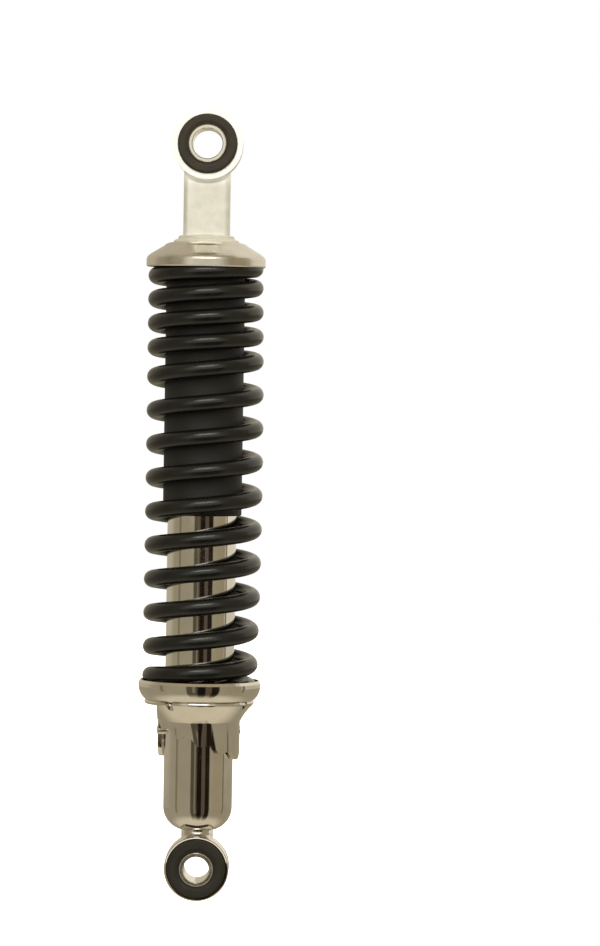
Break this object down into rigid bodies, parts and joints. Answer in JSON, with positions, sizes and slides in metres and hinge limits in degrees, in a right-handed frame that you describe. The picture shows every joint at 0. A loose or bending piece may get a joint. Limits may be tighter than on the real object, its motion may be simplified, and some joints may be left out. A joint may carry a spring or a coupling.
{
  "type": "motorcycle rear shock absorber",
  "caption": "Rear shock absorber with a chrome twin-tube damper, black coil spring, stepped preload cam and rubber-bushed eyes.",
  "frame": {"origin": "centre of the lower eye bore", "axes": "+Z along the damper axis towards the upper eye, +Y along both eye bores"},
  "size_m": [0.0574, 0.0574, 0.3718],
  "materials": {
    "chrome_steel": "bright chrome plate",
    "cast_aluminium": "satin, lightly brushed casting",
    "polished_aluminium": "polished, turned",
    "spring_black": "satin black coating",
    "black_plastic": "matte moulded",
    "rubber": "matte moulded rubber",
    "seal_rubber": "matte rubber",
    "zinc_steel": "bright zinc plate",
    "bare_steel": "bare machined steel",
    "hard_chrome": "ground hard chrome",
    "sintered_iron": "dull sintered iron",
    "bearing_bronze": "porous bronze",
    "nylon": "natural nylon"
  },
  "bodies": {
    "damper_body": {"lower_eye": "chrome_steel", "damper_tube": "chrome_steel", "preload_pegs": "chrome_steel", "lower_bush": "rubber", "inner_cylinder": "bare_steel", "base_valve_body": "sintered_iron", "base_valve_shim": "bare_steel", "base_valve_pin": "bare_steel", "rod_guide": "sintered_iron", "guide_bush": "bearing_bronze", "guide_o_ring": "seal_rubber", "oil_seal": "seal_rubber", "seal_garter_spring": "bare_steel", "seal_washer": "bare_steel", "gland_nut": "zinc_steel"},
    "lower_bolt_sleeve": {"lower_sleeve": "zinc_steel"},
    "spring_seat": {"lower_spring_seat": "chrome_steel", "main_spring": "spring_black"},
    "preload_cam": {"preload_collar": "chrome_steel"},
    "spring_cap": {"upper_spring_cap": "polished_aluminium", "spring_isolator": "seal_rubber", "dust_tube": "black_plastic"},
    "rod_and_eye": {"upper_eye": "cast_aluminium", "upper_bush": "rubber", "rod_lock_nut": "zinc_steel", "piston_rod": "hard_chrome", "bump_stop": "seal_rubber", "bump_stop_washer": "zinc_steel", "rebound_stop": "nylon", "stop_plate": "bare_steel", "check_plate": "bare_steel", "piston": "sintered_iron", "piston_ring": "nylon", "rebound_shims": "bare_steel", "piston_nut": "zinc_steel"},
    "upper_bolt_sleeve": {"upper_sleeve": "zinc_steel"}
  },
  "joints": [
    {"name": "stroke", "type": "slide", "parent": "damper_body", "child": "spring_cap", "axis": [0, 0, -1], "range_m": [0, 0.066], "stiffness_N_per_m": 16000, "springref_m": -0.012, "deforming": ["main_spring"]},
    {"name": "eye_swivel", "type": "hinge", "parent": "spring_cap", "child": "rod_and_eye", "pos_m": [0, 0, 0.291], "axis": [0, 0, 1], "continuous": true},
    {"name": "upper_bush_twist", "type": "hinge", "parent": "rod_and_eye", "child": "upper_bolt_sleeve", "pos_m": [0, 0, 0.34], "axis": [0, 1, 0], "range_deg": [-15, 15], "stiffness_Nm_per_rad": 25},
    {"name": "lower_bush_twist", "type": "hinge", "parent": "damper_body", "child": "lower_bolt_sleeve", "pos_m": [0, 0, 0], "axis": [0, 1, 0], "range_deg": [-15, 15], "stiffness_Nm_per_rad": 25},
    {"name": "preload_lift", "type": "slide", "parent": "damper_body", "child": "spring_seat", "axis": [0, 0, 1], "range_m": [0, 0.01408]},
    {"name": "preload_turn", "type": "hinge", "parent": "spring_seat", "child": "preload_cam", "pos_m": [0, 0, 0.0622], "axis": [0, 0, -1], "range_deg": [0, 128]}
  ],
  "couplings": [
    {"joint": "preload_turn", "follows": "preload_lift", "rad_per_m": 158.66}
  ]
}
